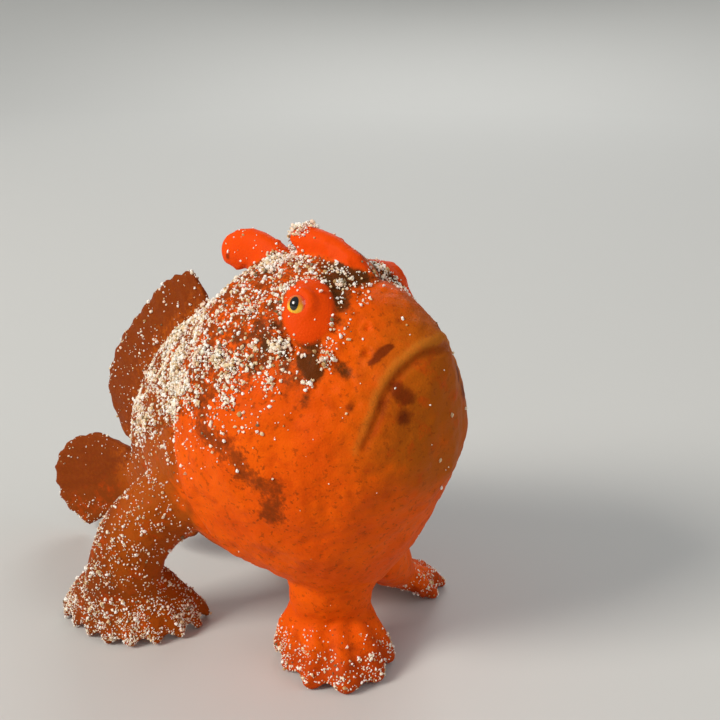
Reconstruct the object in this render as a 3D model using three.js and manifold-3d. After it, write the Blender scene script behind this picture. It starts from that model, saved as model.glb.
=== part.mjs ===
// A painted frogfish standing on its paired fins, head raised and turned a little from the viewer.
// Millimetres: +X runs towards the snout, +Y to the fish's left, +Z up, and the floor is z = 0.
// The trunk is a soft union of ellipsoids, sampled along rays that leave a spine inside it.
// Limbs are elliptical sections carried along a path, and fins are sheets with raised rays.
import * as THREE from "three";
import { mergeVertices } from "three/addons/utils/BufferGeometryUtils.js";
import Module from "manifold-3d";

const wasm = await Module();
wasm.setup();

// Driving dimensions
const GAP = 0.3; // between neighbouring nodes
const BODY_PITCH = 28; // degrees, the fish rests with its head raised
const HEAD_CENTRE = [4, 0, 63];
const HEAD_RADIUS = 36.5;
const EYE_RADIUS = 2.6;
const EYE_BULGE = 1.2; // how far an eye stands out of its turret
const TURRET_OUT = 9.2; // from the midplane to a turret's centre
const FIN_ROOT_HALF = 1.5; // half thickness of a fin's skin at its root
const FIN_EDGE_HALF = 0.45;
const RAY_RISE = 0.5; // how far a fin ray stands out of the membrane

// The flesh as ellipsoids: centre, radii along, across and up, and the pitch that lifts the front
const FLESH = [
  { centre: [-4, 0, 58], radii: [30.5, 29.5, HEAD_RADIUS], pitch: 0 }, // cheeks and gill covers
  { centre: [14.5, 0, 62.5], radii: [17.8, 20.2, 20.8], pitch: 0 }, // lower jaw
  { centre: [17, 0, 80.5], radii: [15, 8.6, 8.8], pitch: -25 }, // snout
  { centre: [5.2, TURRET_OUT, 86.2], radii: [5.4, 6.2, 6.4], pitch: 0 }, // left eye turret
  { centre: [5.2, -TURRET_OUT, 86.2], radii: [5.4, 6.2, 6.4], pitch: 0 }, // right eye turret
  { centre: [8.5, 0, 40], radii: [13.5, 16.5, 22.5], pitch: -18 }, // throat
  { centre: [-22, 0, 50.5], radii: [30, 25, 30], pitch: 25 }, // belly and back
  { centre: [-42, 0, 41], radii: [22, 15, 21], pitch: 35 }, // rear of the trunk
  { centre: [-60, 0, 27], radii: [15, 6.5, 9.5], pitch: 30 }, // tail stem
];
const FLESH_BLEND = 0.35; // per mm, how sharply the ellipsoids run into each other

// The spine that the sampling rays leave, from the head's centre to the tail stem
const SPINE = [
  [4, 63],
  [-12, 58],
  [-28, 50],
  [-42, 41],
  [-55, 31],
  [-66, 23],
];

const radians = (degrees) => (degrees * Math.PI) / 180;
const mix = (a, b, t) => a + (b - a) * t;
const vec = (p) => new THREE.Vector3(...p);

// Signed distance, nearly, from a point to one ellipsoid
function ellipsoidDistance(point, { centre, radii, pitch }) {
  const a = radians(pitch);
  const dx = point.x - centre[0];
  const dz = point.z - centre[2];
  const q = [
    dx * Math.cos(a) + dz * Math.sin(a),
    point.y - centre[1],
    -dx * Math.sin(a) + dz * Math.cos(a),
  ];
  const k0 = Math.hypot(...q.map((v, i) => v / radii[i]));
  const k1 = Math.hypot(...q.map((v, i) => v / radii[i] ** 2)) + 1e-9;
  return (k0 * (k0 - 1)) / k1;
}

// The soft union of all the ellipsoids: below zero inside the fish
function fleshDistance(point) {
  let sum = 0;
  for (const blob of FLESH) {
    sum += Math.exp(-FLESH_BLEND * Math.min(ellipsoidDistance(point, blob), 200));
  }
  return -Math.log(sum + 1e-300) / FLESH_BLEND;
}

// How far a ray runs from a point inside before it leaves the flesh, grown by `grow`
function exitDistance(from, direction, grow) {
  const step = 1;
  let low = 0;
  let high = step;
  const at = (r) => fleshDistance(from.clone().addScaledVector(direction, r)) - grow;
  while (at(high) < 0) {
    low = high;
    high += step;
  }
  for (let i = 0; i < 16; i++) {
    const middle = (low + high) / 2;
    if (at(middle) < 0) low = middle;
    else high = middle;
  }
  return (low + high) / 2;
}

// A point on the skin of the head, by azimuth (0 ahead, positive to the left) and elevation
function headSkin(azimuth, elevation, grow = 0) {
  const a = radians(azimuth);
  const e = radians(elevation);
  const direction = new THREE.Vector3(
    Math.cos(a) * Math.cos(e),
    Math.sin(a) * Math.cos(e),
    Math.sin(e),
  );
  const centre = vec(HEAD_CENTRE);
  return centre.addScaledVector(direction, exitDistance(centre, direction, grow));
}

// Rings of points, the first and last of them single poles, as one closed geometry
function closedRings(rings) {
  const around = rings[1].length;
  const points = [rings[0][0], ...rings.slice(1, -1).flat(), rings.at(-1)[0]];
  const last = points.length - 1;
  const id = (i, j) => 1 + (i - 1) * around + (j % around);
  const faces = [];
  for (let j = 0; j < around; j++) {
    faces.push(0, id(1, j), id(1, j + 1));
    for (let i = 1; i < rings.length - 2; i++) {
      faces.push(id(i, j), id(i + 1, j), id(i + 1, j + 1));
      faces.push(id(i, j), id(i + 1, j + 1), id(i, j + 1));
    }
    faces.push(id(rings.length - 2, j), last, id(rings.length - 2, j + 1));
  }
  const geometry = new THREE.BufferGeometry().setFromPoints(points);
  geometry.setIndex(faces);
  return geometry;
}

// A closed three.js geometry as a solid, turned right side out where it needs it
function solid(geometry) {
  const bare = geometry.clone();
  bare.deleteAttribute("normal");
  bare.deleteAttribute("uv");
  const merged = mergeVertices(bare, 1e-4);
  const faces = [];
  const index = merged.index.array;
  for (let i = 0; i < index.length; i += 3) {
    const [a, b, c] = [index[i], index[i + 1], index[i + 2]];
    if (a !== b && b !== c && c !== a) faces.push(a, b, c);
  }
  const build = (triangles) =>
    new wasm.Manifold(
      new wasm.Mesh({
        numProp: 3,
        vertProperties: new Float32Array(merged.attributes.position.array),
        triVerts: new Uint32Array(triangles),
      }),
    );
  const made = build(faces);
  return made.volume() > 0 ? made : build(faces.reverse());
}

// The largest closed body of a solid, and with it no scraps and no sealed hollow
function largest(whole) {
  const bodies = whole.decompose();
  return bodies.reduce((best, body) => (body.volume() > best.volume() ? body : best));
}

// The trunk from snout to tail stem: rays fan round the head's centre, march down the spine
// square to the body's axis, and close round the end of the stem
function trunk(grow = 0, { fan = 16, march = 13, close = 3, around = 52 } = {}) {
  const pitch = radians(BODY_PITCH);
  const ahead = new THREE.Vector3(Math.cos(pitch), 0, Math.sin(pitch));
  const up = new THREE.Vector3(-Math.sin(pitch), 0, Math.cos(pitch));
  const left = new THREE.Vector3(0, 1, 0);
  const line = new THREE.CatmullRomCurve3(SPINE.map(([x, z]) => new THREE.Vector3(x, 0, z)));
  const stations = [];
  for (let i = 0; i <= fan; i++) stations.push([0, (90 * i) / fan]);
  for (let i = 1; i < march; i++) stations.push([i / march, 90]);
  for (let i = 0; i <= close; i++) stations.push([1, 90 + (90 * i) / close]);
  const rings = stations.map(([along, tilt]) => {
    const from = line.getPointAt(along);
    const t = radians(tilt);
    return Array.from({ length: around }, (_, j) => {
      const v = (2 * Math.PI * j) / around;
      const out = up.clone().multiplyScalar(Math.cos(v)).addScaledVector(left, Math.sin(v));
      const direction = ahead
        .clone()
        .multiplyScalar(Math.cos(t))
        .addScaledVector(out, Math.sin(t));
      return from.clone().addScaledVector(direction, exitDistance(from, direction, grow));
    });
  });
  return solid(closedRings(rings));
}

// A limb: stops of [point, half width, half thickness, wide direction] joined by smooth
// elliptical sections and closed at both ends
function limb(stops, along = 8, around = 14) {
  const path = new THREE.CatmullRomCurve3(stops.map((s) => vec(s[0])));
  const sizes = new THREE.CatmullRomCurve3(stops.map((s) => new THREE.Vector3(s[1], s[2], 0)));
  const wides = new THREE.CatmullRomCurve3(stops.map((s) => vec(s[3])));
  const rings = [[path.getPoint(0)]];
  for (let i = 0; i <= along; i++) {
    const t = i / along;
    const centre = path.getPoint(t);
    const tangent = path.getTangent(t);
    const wide = wides.getPoint(t);
    wide.addScaledVector(tangent, -wide.dot(tangent)).normalize();
    const thick = new THREE.Vector3().crossVectors(tangent, wide);
    const size = sizes.getPoint(t);
    rings.push(
      Array.from({ length: around }, (_, j) => {
        const v = (2 * Math.PI * j) / around;
        return centre
          .clone()
          .addScaledVector(wide, size.x * Math.cos(v))
          .addScaledVector(thick, size.y * Math.sin(v));
      }),
    );
  }
  rings.push([path.getPoint(1)]);
  return solid(closedRings(rings));
}

// A fin: a sheet between a root line and an edge line, with `rays` ridges from root to edge.
// `bow` pushes its middle sideways along `side`, and `notch` draws the edge in between the rays.
function fin({ root, edge, rays, side, bow = 0, notch = 0.06, steps = 4, halves, rise = RAY_RISE }) {
  const perRay = 4;
  const columns = rays * perRay;
  const rootLine = new THREE.CatmullRomCurve3(root.map(vec));
  const edgeLine = new THREE.CatmullRomCurve3(edge.map(vec));
  const [rootHalf, edgeHalf] = halves ?? [FIN_ROOT_HALF, FIN_EDGE_HALF];
  const ridge = (i) => 0.5 - 0.5 * Math.cos((2 * Math.PI * i) / perRay);
  const middle = [];
  for (let i = 0; i <= columns; i++) {
    const u = i / columns;
    const from = rootLine.getPoint(u);
    const to = edgeLine.getPoint(u);
    const column = [];
    for (let j = 0; j <= steps; j++) {
      const v = (j / steps) * (1 - notch * (1 - ridge(i)));
      const point = from.clone().lerp(to, v);
      point.addScaledVector(vec(side), bow * Math.sin(Math.PI * 0.5 * (u + v)));
      column.push(point);
    }
    middle.push(column);
  }
  const at = (i, j) => middle[THREE.MathUtils.clamp(i, 0, columns)][THREE.MathUtils.clamp(j, 0, steps)];
  const faceOf = (sign) => {
    const points = [];
    for (let i = 0; i <= columns; i++) {
      for (let j = 0; j <= steps; j++) {
        const along = at(i + perRay / 2, j).clone().sub(at(i - perRay / 2, j));
        const out = at(i, j + 1).clone().sub(at(i, j - 1));
        const normal = new THREE.Vector3().crossVectors(along, out).normalize();
        const half = mix(rootHalf, edgeHalf, j / steps) + rise * ridge(i) * mix(0.6, 1, j / steps);
        points.push(middle[i][j].clone().addScaledVector(normal, sign * half));
      }
    }
    return points;
  };
  const points = [...faceOf(1), ...faceOf(-1)];
  const back = (columns + 1) * (steps + 1);
  const id = (i, j) => i * (steps + 1) + j;
  const faces = [];
  for (let i = 0; i < columns; i++) {
    for (let j = 0; j < steps; j++) {
      const [a, b, c, d] = [id(i, j), id(i + 1, j), id(i + 1, j + 1), id(i, j + 1)];
      faces.push(a, b, c, a, c, d);
      faces.push(back + a, back + c, back + b, back + a, back + d, back + c);
    }
  }
  const rim = [];
  for (let i = 0; i < columns; i++) rim.push(id(i, 0));
  for (let j = 0; j < steps; j++) rim.push(id(columns, j));
  for (let i = columns; i > 0; i--) rim.push(id(i, steps));
  for (let j = steps; j > 0; j--) rim.push(id(0, j));
  rim.forEach((a, k) => {
    const b = rim[(k + 1) % rim.length];
    faces.push(a, back + a, b, b, back + a, back + b);
  });
  const geometry = new THREE.BufferGeometry().setFromPoints(points);
  geometry.setIndex(faces);
  return solid(geometry);
}

function ball(centre, radius, segments = 12) {
  const geometry = new THREE.SphereGeometry(radius, segments, Math.round(segments * 0.7));
  return solid(geometry.translate(...centre));
}

// A round bead laid along points on the skin, thinner towards both ends
function bead(points, radius, steps = 24, sides = 6) {
  const stops = points.map((p, i) => {
    const r = radius * mix(0.45, 1, Math.sin((Math.PI * i) / (points.length - 1)) ** 0.5);
    return [p, r, r, [0.3, 0.2, 1]];
  });
  return limb(stops, steps, sides);
}

// Everything under the floor is trimmed off, which leaves small flats to stand on
const aboveFloor = (shape) => shape.trimByPlane([0, 0, 1], 0);

// Trunk
const whole = trunk();
const clearance = trunk(GAP);

// Eyes: a ball in each turret, with a socket that clears it and a lid fold round it
const EYES = [
  ["eye_right", -1],
  ["eye_left", 1],
];
const eyeLook = (side) => new THREE.Vector3(0.25, side * 0.82, 0.42).normalize();
function eyeCentre(side) {
  const turret = new THREE.Vector3(5.2, side * TURRET_OUT, 86.2);
  const out = exitDistance(turret, eyeLook(side), 0) - EYE_RADIUS + EYE_BULGE;
  return turret.addScaledVector(eyeLook(side), out).toArray();
}

// The closed mouth as an arch round the chin, in degrees of azimuth and elevation from the
// head's centre: from the middle to the right corner, and mirrored to the left
const MOUTH = [
  [0, 34.5],
  [-7, 35],
  [-14, 33.5],
  [-20, 31],
  [-25, 27],
  [-29, 22],
  [-32.5, 15],
  [-35.5, 9],
  [-38.5, 3],
];
const CHIN = [0, 12];
const UPPER_LIP = { away: 4, sunk: 1.1, radius: 1.7 }; // away from the mouth line in degrees
const LOWER_LIP = { away: -3.2, sunk: 0.7, radius: 1.1 };

// The mouth line, or a line that follows it at `away` degrees, laid on the skin from corner
// to corner and sunk by `sunk`
function mouthArch(away, sunk) {
  const right = MOUTH.map(([azimuth, elevation]) => {
    const out = new THREE.Vector2(azimuth - CHIN[0], elevation - CHIN[1]).setLength(away);
    return [azimuth + out.x, elevation + out.y];
  });
  const left = right.slice(1).map(([azimuth, elevation]) => [-azimuth, elevation]);
  return [...right.reverse(), ...left].map(([a, e]) => headSkin(a, e, -sunk).toArray());
}

const lip = ({ away, sunk, radius }) => bead(mouthArch(away, sunk), radius, 26, 7);
const mouthLine = () => bead(mouthArch(1e-6, -0.1), 0.75, 34);

// Nostrils in front of each eye: azimuth, elevation and radius
const NOSTRILS = [
  [33, 42, 0.9],
  [30, 52, 0.7],
];
const GILL_PORE = { centre: [-33, 17.5, 27], radius: 1.4 }; // under and behind each arm

function headNode() {
  let head = whole.add(lip(UPPER_LIP)).add(lip(LOWER_LIP));
  for (const [, side] of EYES) {
    const centre = vec(eyeCentre(side));
    const look = eyeLook(side);
    const ring = new THREE.TorusGeometry(EYE_RADIUS + 0.1, 0.75, 7, 18);
    ring.lookAt(look);
    ring.translate(...centre.clone().addScaledVector(look, 0.8).toArray());
    head = head.add(solid(ring));
    head = head.subtract(ball(centre.toArray(), EYE_RADIUS + GAP, 14));
  }
  for (const [azimuth, elevation, radius] of NOSTRILS) {
    for (const side of [-1, 1]) {
      const rim = headSkin(side * azimuth, elevation);
      head = head.subtract(ball(rim.toArray(), radius, 8));
    }
  }
  return head.subtract(mouthLine());
}

// Cuts across the trunk: a point on the plane, whose normal runs along the body's axis
const AXIS = [Math.cos(radians(BODY_PITCH)), 0, Math.sin(radians(BODY_PITCH))];
const GILL_CUT = [-14, 60];
const TAIL_CUT = [-55, 31];
const along = ([x, z]) => x * AXIS[0] + z * AXIS[2];
const ahead = (shape, cut) => shape.trimByPlane(AXIS, along(cut) + GAP / 2);
const behind = (shape, cut) =>
  shape.trimByPlane(AXIS.map((a) => -a), -(along(cut) - GAP / 2));

const dressed = headNode();
const pore = (side) => {
  const [x, y, z] = GILL_PORE.centre;
  const inside = new THREE.Vector3(x, 0, z);
  const out = new THREE.Vector3(0, side, 0);
  inside.addScaledVector(out, exitDistance(inside, out, 0));
  return ball(inside.toArray(), GILL_PORE.radius, 10);
};
const withPores = whole.subtract(pore(1)).subtract(pore(-1));
const head = largest(ahead(dressed, GILL_CUT));
const torso = largest(ahead(behind(withPores, GILL_CUT), TAIL_CUT));
const tailStem = largest(behind(whole, TAIL_CUT));

// Dorsal spines: the second lies back along the crown, the third is a broad rounded lobe
const SPINE_TWO = [
  [[13, 0, 88], 2.8, 2.4, [1, 0, 0.2]],
  [[9.5, 0, 93.5], 3, 2.4, [1, 0, 0.6]],
  [[3.5, 0, 96.8], 3.1, 2.6, [0.5, 0, 1]],
  [[-4, 0, 98], 3.3, 2.7, [0, 0, 1]],
  [[-8.6, 0, 97.8], 1.5, 1.3, [0, 0, 1]],
];
const SPINE_THREE = [
  [[-8, 0, 86], 4.6, 2.8, [1, 0, 0.2]],
  [[-13, 0, 91], 4.8, 2.9, [0.8, 0, 0.8]],
  [[-20, 0, 93.8], 4.8, 3, [0.3, 0, 1]],
  [[-26, 0, 93], 4.4, 2.7, [0, 0, 1]],
  [[-30.6, 0, 92], 1.8, 1.3, [0, 0, 1]],
];
// The lure: a thin rod laid back beside the second spine, ending in a small frilled bait
const ROD = [
  [[15, 2, 85], 0.8, 0.8, [0, 1, 0]],
  [[12, 3.2, 92], 0.7, 0.7, [0, 1, 0]],
  [[5, 4.4, 96.2], 0.6, 0.6, [0, 1, 0]],
  [[-3, 4.4, 97.4], 0.55, 0.55, [0, 1, 0]],
  [[-9, 3.8, 97.4], 0.55, 0.55, [0, 1, 0]],
];

// Fins along the back, tail and belly: root lines run inside the flesh
const DORSAL = {
  root: [[-30, 0, 72], [-44, 0, 62], [-54, 0, 48], [-62, 0, 33]],
  edge: [[-41, 0, 87], [-51, 0, 82.5], [-62, 0, 73], [-74, 0, 61], [-80.5, 0, 47], [-75, 0, 33.5]],
  rays: 12,
  side: [0, 1, 0],
  bow: -1.5,
};
const CAUDAL = {
  root: [[-68, 0, 29], [-70, 0, 25], [-71, 0, 20], [-70, 0, 16]],
  edge: [[-87, -3, 32], [-98, -6, 27], [-103, -8, 18], [-100, -8, 8], [-91, -5, 1.5]],
  rays: 9,
  side: [0, 1, 0],
  bow: 2,
};
const ANAL = {
  root: [[-40, 0, 26], [-48, 0, 24], [-56, 0, 22], [-62, 0, 21]],
  edge: [[-47, 0, 12], [-56, 0, 7], [-66, 0, 6], [-72, 0, 11]],
  rays: 7,
  side: [0, 1, 0],
  bow: 0,
};

// Arms: the pectoral lobes, each ending in a hand whose rays spread on the floor
const ARM_RIGHT = [
  [[-20, -13, 42], 9, 8, [-0.3, -0.25, 0.9]],
  [[-29, -20, 37], 8.8, 7.5, [-0.5, -0.4, 0.8]],
  [[-36.5, -26, 28], 8.8, 6.6, [-0.7, -0.55, 0.5]],
  [[-40, -28.5, 17], 9, 5.2, [-0.77, -0.64, 0.1]],
  [[-42, -27, 7], 11, 3.4, [-0.77, -0.64, 0]],
];
const HAND_RIGHT = {
  root: [[-47, -32, 17], [-44, -30, 16], [-39, -26, 16], [-36, -22, 17]],
  edge: [
    [-63, -31, 0.7],
    [-57, -34.5, 0.6],
    [-47, -36, 0.6],
    [-37, -34, 0.6],
    [-30, -26.5, 0.6],
    [-28, -17, 0.6],
    [-32, -9, 0.7],
  ],
};
const ARM_LEFT = [
  [[-16, 13, 42], 9, 8, [-0.3, 0.25, 0.9]],
  [[-22, 21, 37], 8.8, 7.5, [-0.5, 0.4, 0.8]],
  [[-27.5, 27, 28], 8.8, 6.6, [-0.7, 0.55, 0.5]],
  [[-30, 29.5, 17], 9, 5.2, [-0.77, 0.64, 0.1]],
  [[-32, 28, 7], 11, 3.4, [-0.77, 0.64, 0]],
];
const HAND_LEFT = {
  root: [[-37, 33, 17], [-34, 31, 16], [-29, 27, 16], [-26, 23, 17]],
  edge: [
    [-53, 32, 0.7],
    [-47, 35.5, 0.6],
    [-37, 37, 0.6],
    [-27, 35, 0.6],
    [-20, 27.5, 0.6],
    [-18, 18.5, 0.6],
    [-22, 11, 0.7],
  ],
};
const WRIST = 15; // height of the cut between an arm and its hand

// Legs: the pelvic fins under the throat, one turned ahead and one spread to the side
const LEG_RIGHT = [
  [[6.4, -2.6, 32], 11, 9, [0.77, 0.64, 0]],
  [[5, -3.8, 22], 10, 8, [0.77, 0.64, 0]],
  [[4, -4, 13], 9.2, 6, [0.77, 0.64, 0]],
  [[5.6, -6, 5], 9.6, 3.4, [0.77, 0.64, 0]],
];
const FOOT_RIGHT = {
  root: [[-2, -9, 15], [1.5, -6.5, 14], [6.5, -2.5, 14], [10, 1, 15]],
  edge: [
    [-9, -8, 0.7],
    [-4, -12.5, 0.6],
    [5, -16, 0.6],
    [13, -15, 0.6],
    [19, -8, 0.6],
    [18.5, 0, 0.6],
    [15, 7, 0.7],
  ],
};
const LEG_LEFT = [
  [[7, 5, 32], 8.5, 8, [0.9, 0.3, 0]],
  [[6, 12, 21], 7.5, 6.5, [1, 0, 0.3]],
  [[3, 21, 12], 6.5, 4.6, [1, 0, 0]],
  [[1, 28, 5.5], 7, 3, [1, -0.2, 0]],
];
const FOOT_LEFT = {
  root: [[-3, 19, 13], [-1, 21, 12], [4, 21, 12], [7, 19, 13]],
  edge: [
    [-11, 27, 0.7],
    [-9, 35, 0.6],
    [-3, 40, 0.6],
    [4, 40.5, 0.6],
    [8, 36, 0.6],
    [8, 28, 0.7],
  ],
};
const HAND_RAYS = 10;
const FOOT_RAYS = 5;

function hand(arm, blade, rays) {
  const palm = fin({
    ...blade,
    rays,
    side: [0, 0, 1],
    bow: 1.2,
    notch: 0.1,
    steps: 4,
    halves: [2.2, 0.9],
    rise: 0.9,
  });
  return aboveFloor(limb(arm).add(palm));
}

const group = new THREE.Group();

function addNode(name, shape, colour, roughness = 0.6) {
  const mesh = shape.getMesh();
  const geometry = new THREE.BufferGeometry();
  geometry.setAttribute("position", new THREE.BufferAttribute(mesh.vertProperties, 3));
  geometry.setIndex(new THREE.BufferAttribute(mesh.triVerts, 1));
  geometry.computeVertexNormals();
  const material = new THREE.MeshStandardMaterial({ color: colour, roughness, metalness: 0 });
  const node = new THREE.Mesh(geometry, material);
  node.name = name;
  group.add(node);
}

const SKIN = 0xe24a0c;
const EYE = 0xe8a018;
const LURE = 0xd8b08a;

const free = (shape) => largest(shape.subtract(clearance));

addNode("head", head, SKIN);
addNode("torso", torso, SKIN);
addNode("tail_stem", tailStem, SKIN);
for (const [name, side] of EYES) addNode(name, ball(eyeCentre(side), EYE_RADIUS), EYE, 0.15);
addNode("dorsal_spine_2", free(limb(SPINE_TWO)), SKIN);
addNode("dorsal_spine_3", free(limb(SPINE_THREE)), SKIN);
addNode("lure", free(limb(ROD, 10, 8).add(ball([-10.6, 3.4, 97.2], 1.6, 10))), LURE);
addNode("dorsal_fin", free(fin(DORSAL)), SKIN);
addNode("caudal_fin", aboveFloor(free(fin(CAUDAL))), SKIN);
addNode("anal_fin", free(fin(ANAL)), SKIN);
const rightLeg = hand(LEG_RIGHT, FOOT_RIGHT, FOOT_RAYS);
const rightLegClear = hand(
  LEG_RIGHT.map(([p, w, t, d]) => [p, w + GAP, t + GAP, d]),
  FOOT_RIGHT,
  FOOT_RAYS,
);
for (const [side, arm, blade] of [
  ["right", ARM_RIGHT, HAND_RIGHT],
  ["left", ARM_LEFT, HAND_LEFT],
]) {
  const whole = free(hand(arm, blade, HAND_RAYS));
  addNode(`arm_${side}`, largest(whole.trimByPlane([0, 0, 1], WRIST + GAP / 2)), SKIN);
  addNode(`hand_${side}`, largest(whole.trimByPlane([0, 0, -1], -WRIST + GAP / 2)), SKIN);
}
addNode("leg_right", free(rightLeg), SKIN);
addNode("leg_left", largest(free(hand(LEG_LEFT, FOOT_LEFT, FOOT_RAYS)).subtract(rightLegClear)), SKIN);

// The origin goes to the middle of the footprint, on the floor
const box = new THREE.Box3().setFromObject(group);
const middle = box.getCenter(new THREE.Vector3());
for (const node of group.children) node.geometry.translate(-middle.x, -middle.y, -box.min.z);

export default group;
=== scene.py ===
import bpy
import numpy as np
from mathutils import Matrix, Vector


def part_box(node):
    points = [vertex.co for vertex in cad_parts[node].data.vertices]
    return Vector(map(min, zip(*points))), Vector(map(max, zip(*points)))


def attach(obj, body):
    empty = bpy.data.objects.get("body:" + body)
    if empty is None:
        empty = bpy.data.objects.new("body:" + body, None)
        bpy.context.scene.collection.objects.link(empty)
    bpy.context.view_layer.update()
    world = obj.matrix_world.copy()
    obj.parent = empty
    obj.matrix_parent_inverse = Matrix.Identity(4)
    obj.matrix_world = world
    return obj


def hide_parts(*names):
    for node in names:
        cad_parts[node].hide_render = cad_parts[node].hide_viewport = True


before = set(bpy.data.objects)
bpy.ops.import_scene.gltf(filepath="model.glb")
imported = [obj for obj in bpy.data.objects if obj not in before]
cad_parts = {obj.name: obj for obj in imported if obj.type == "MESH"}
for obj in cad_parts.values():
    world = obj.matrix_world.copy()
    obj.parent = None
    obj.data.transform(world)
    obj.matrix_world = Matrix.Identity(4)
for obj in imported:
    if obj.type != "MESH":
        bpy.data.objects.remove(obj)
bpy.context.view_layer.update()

# The trunk: one globe of scaleless skin from snout to tail stem, stuffed tight over the flesh.
# Cheeks, jaw, snout, eye turrets, throat, belly and tail stem run into each other softly, and
# every other fleshy piece is rooted in it before the skin is drawn over all of them.
EYE_PLACE = np.array([6.86, -14.65, 88.99])  # middle of the right eye, in mm like all places here
eye_low, eye_high = (np.array(corner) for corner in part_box("eye_right"))
SET_DOWN = (eye_low + eye_high) / 2 * 1000 - EYE_PLACE  # from these places to the part's own frame
SOLE = 0.02 - SET_DOWN[2]  # the height at which soles and sand rest, a hair over the floor

FLESH = {  # centre, radii along, across and up, and the pitch in degrees that lifts the front
    "cheeks": ((-4, 0, 58), (30.5, 29.5, 36.5), 0),
    "jaw": ((14.5, 0, 62.5), (17.8, 20.2, 20.8), 0),
    "snout": ((17, 0, 80.5), (15, 8.6, 8.8), -25),
    "left turret": ((5.2, 9.2, 86.2), (5.4, 6.2, 6.4), 0),
    "right turret": ((5.2, -9.2, 86.2), (5.4, 6.2, 6.4), 0),
    "throat": ((8.5, 0, 40), (13.5, 16.5, 22.5), -18),
    "belly": ((-22, 0, 50.5), (30, 25, 30), 25),
    "rear": ((-42, 0, 41), (22, 15, 21), 35),
    "tail stem": ((-60, 0, 27), (15, 6.5, 9.5), 30),
}
BLEND = 0.35  # per mm
HEAD_CENTRE = np.array([4.0, 0.0, 63.0])
BODY_PITCH = np.radians(28)
SPINE = [(4, 0, 63), (-12, 0, 58), (-28, 0, 50), (-42, 0, 41), (-55, 0, 31), (-66, 0, 23)]


def depth(points):
    """Distance outside the flesh, nearly: each ellipsoid's is k0 (k0 - 1) / k1, with k0 the length of
    the offset over the radii and k1 over their squares, and all join as -log(sum exp(-BLEND d)) / BLEND."""
    total = 0.0
    for centre, radii, pitch in FLESH.values():
        a = np.radians(pitch)
        x, y, z = np.moveaxis(points - np.array(centre, float), -1, 0)
        offset = np.stack([x * np.cos(a) + z * np.sin(a), y, z * np.cos(a) - x * np.sin(a)], axis=-1)
        k0 = np.linalg.norm(offset / radii, axis=-1)
        k1 = np.linalg.norm(offset / np.square(radii), axis=-1) + 1e-9
        total = total + np.exp(-BLEND * np.clip(k0 * (k0 - 1) / k1, -60, 200))
    return -np.log(total + 1e-300) / BLEND


def reach(starts, ways, grow=0.0, step=1.5, most=90.0):
    """How far rays run inside the flesh: even steps in mm to the first point outside, then halving."""
    low = np.zeros(len(starts))
    high = np.full(len(starts), most)
    found = np.zeros(len(starts), bool)
    for far in np.arange(step, most, step):
        outside = depth(starts + far * ways) > grow
        high = np.where(outside & ~found, far, high)
        found |= outside
        low = np.where(found, low, far)
    for _ in range(14):
        middle = (low + high) / 2
        outside = depth(starts + middle[:, None] * ways) > grow
        high = np.where(outside, middle, high)
        low = np.where(outside, low, middle)
    return (low + high) / 2


def on_head(azimuth, elevation, grow=0.0):
    """Points on the skin along rays from the head's centre, by angles in degrees."""
    a, e = np.radians(np.atleast_1d(azimuth)), np.radians(np.atleast_1d(elevation))
    ways = np.stack([np.cos(a) * np.cos(e), np.sin(a) * np.cos(e), np.sin(e)], axis=-1)
    starts = np.broadcast_to(HEAD_CENTRE, ways.shape)
    return starts + reach(starts, ways, grow)[:, None] * ways


def through(knots, t):
    """A smooth curve through the knots, Catmull-Rom: on each span the cubic whose slopes at the two
    ends are half the chord between their neighbours."""
    knots = np.asarray(knots, float)
    padded = np.vstack([2 * knots[0] - knots[1], knots, 2 * knots[-1] - knots[-2]])
    place = np.clip(t, 0, 1) * (len(knots) - 1)
    span = np.minimum(place.astype(int), len(knots) - 2)
    s = (place - span)[:, None]
    a, b, c, d = (padded[span + k] for k in range(4))
    return b + 0.5 * s * (c - a + s * (2 * a - 5 * b + 4 * c - d + s * (3 * (b - c) + d - a)))


def between_rings(rings, around):
    """Quads that join each ring of points to the next: point j of ring i has number i around + j."""
    i, j = np.meshgrid(np.arange(rings - 1), np.arange(around), indexing="ij")
    ring, next_ring = i * around, (i + 1) * around
    k = (j + 1) % around
    return np.stack([ring + j, next_ring + j, next_ring + k, ring + k], axis=-1).reshape(-1, 4)


def closed_tube(rings):
    """Rings of points as a closed skin whose ends are drawn to their middles: the points, then the
    quads between rings and the triangles round each end's middle."""
    count, around, _ = rings.shape
    points = np.vstack([rings.reshape(-1, 3), rings[0].mean(axis=0), rings[-1].mean(axis=0)])
    first, last = count * around, count * around + 1
    end = (count - 1) * around
    j = np.arange(around)
    k = (j + 1) % around
    opening = np.stack([np.full(around, first), j, k], axis=-1)
    closing = np.stack([np.full(around, last), end + k, end + j], axis=-1)
    return points, [between_rings(count, around), np.vstack([opening, closing])]


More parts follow.
